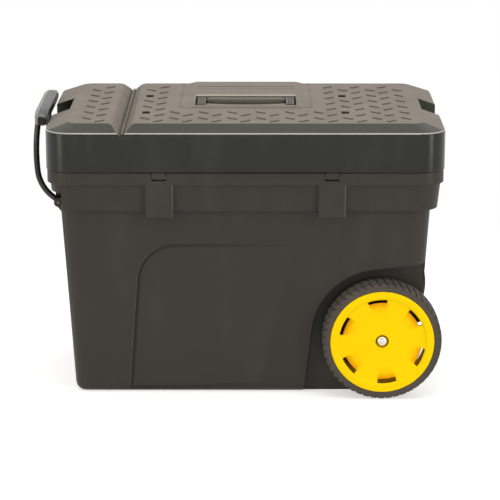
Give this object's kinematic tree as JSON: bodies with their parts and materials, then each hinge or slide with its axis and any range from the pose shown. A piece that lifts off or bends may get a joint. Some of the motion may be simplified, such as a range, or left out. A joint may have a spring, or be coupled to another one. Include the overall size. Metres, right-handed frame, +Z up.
{
  "type": "rolling tool chest",
  "caption": "Deep moulded storage chest on two wheels, with a hinged grooved lid, folding carry handle, swinging pull handle, hook latches and a sliding tote tray.",
  "frame": {"origin": "middle of the tub's footprint, on the floor", "axes": "+X along the chest towards the wheels, +Y towards the latch side, +Z up"},
  "size_m": [0.6117, 0.3938, 0.422],
  "materials": {
    "tub_plastic": "fine-grained dark grey polypropylene",
    "lid_plastic": "fine-grained dark grey polypropylene",
    "handle_plastic": "satin moulded black",
    "black_rod": "gloss black coated steel",
    "grip_plastic": "light grey moulded shell",
    "grip_inner_plastic": "dark moulded inner shell",
    "latch_plastic": "satin black",
    "steel": "plain drawn steel",
    "axle_steel": "zinc plated",
    "hub_plastic": "satin yellow",
    "tyre_plastic": "dull dark grey moulded tyre",
    "tray_plastic": "fine-grained black"
  },
  "bodies": {
    "tub": {"tub": "tub_plastic", "hinge_pins": "steel", "pull_handle_pins": "steel", "axle": "axle_steel", "axle_washers": "steel", "axle_retainers": "steel"},
    "lid": {"lid": "lid_plastic", "carry_handle_pins": "steel", "latch_pins": "steel"},
    "carry_handle": {"carry_handle": "handle_plastic"},
    "pull_handle": {"pull_handle_rod": "black_rod", "pull_grip_outer": "grip_plastic", "pull_grip_inner": "grip_inner_plastic", "pull_grip_screws": "steel"},
    "left_latch": {"left_latch": "latch_plastic"},
    "right_latch": {"right_latch": "latch_plastic"},
    "hinge_side_wheel": {"hinge_side_hub": "hub_plastic", "hinge_side_tyre": "tyre_plastic"},
    "latch_side_wheel": {"latch_side_hub": "hub_plastic", "latch_side_tyre": "tyre_plastic"},
    "tote_tray": {"tote_tray": "tray_plastic", "tote_handle": "handle_plastic"}
  },
  "joints": [
    {"name": "lid_hinge", "type": "hinge", "parent": "tub", "child": "lid", "pos_m": [0, -0.1842, 0.3395], "axis": [1, 0, 0], "range_deg": [0, 100]},
    {"name": "carry_handle_fold", "type": "hinge", "parent": "lid", "child": "carry_handle", "pos_m": [0, -0.021, 0.4052], "axis": [1, 0, 0], "range_deg": [0, 95]},
    {"name": "pull_handle_swing", "type": "hinge", "parent": "tub", "child": "pull_handle", "pos_m": [-0.281, 0, 0.286], "axis": [0, -1, 0], "range_deg": [0, 125]},
    {"name": "left_latch_swing", "type": "hinge", "parent": "lid", "child": "left_latch", "pos_m": [-0.128, 0.1925, 0.392], "axis": [1, 0, 0], "range_deg": [-4.5, 100]},
    {"name": "right_latch_swing", "type": "hinge", "parent": "lid", "child": "right_latch", "pos_m": [0.128, 0.1925, 0.392], "axis": [1, 0, 0], "range_deg": [-4.5, 100]},
    {"name": "hinge_side_wheel_spin", "type": "hinge", "parent": "tub", "child": "hinge_side_wheel", "pos_m": [0.204, -0.167, 0.09], "axis": [0, 1, 0], "continuous": true},
    {"name": "latch_side_wheel_spin", "type": "hinge", "parent": "tub", "child": "latch_side_wheel", "pos_m": [0.204, 0.167, 0.09], "axis": [0, 1, 0], "continuous": true},
    {"name": "tray_slide", "type": "slide", "parent": "tub", "child": "tote_tray", "axis": [1, 0, 0], "range_m": [0, 0.278]}
  ]
}
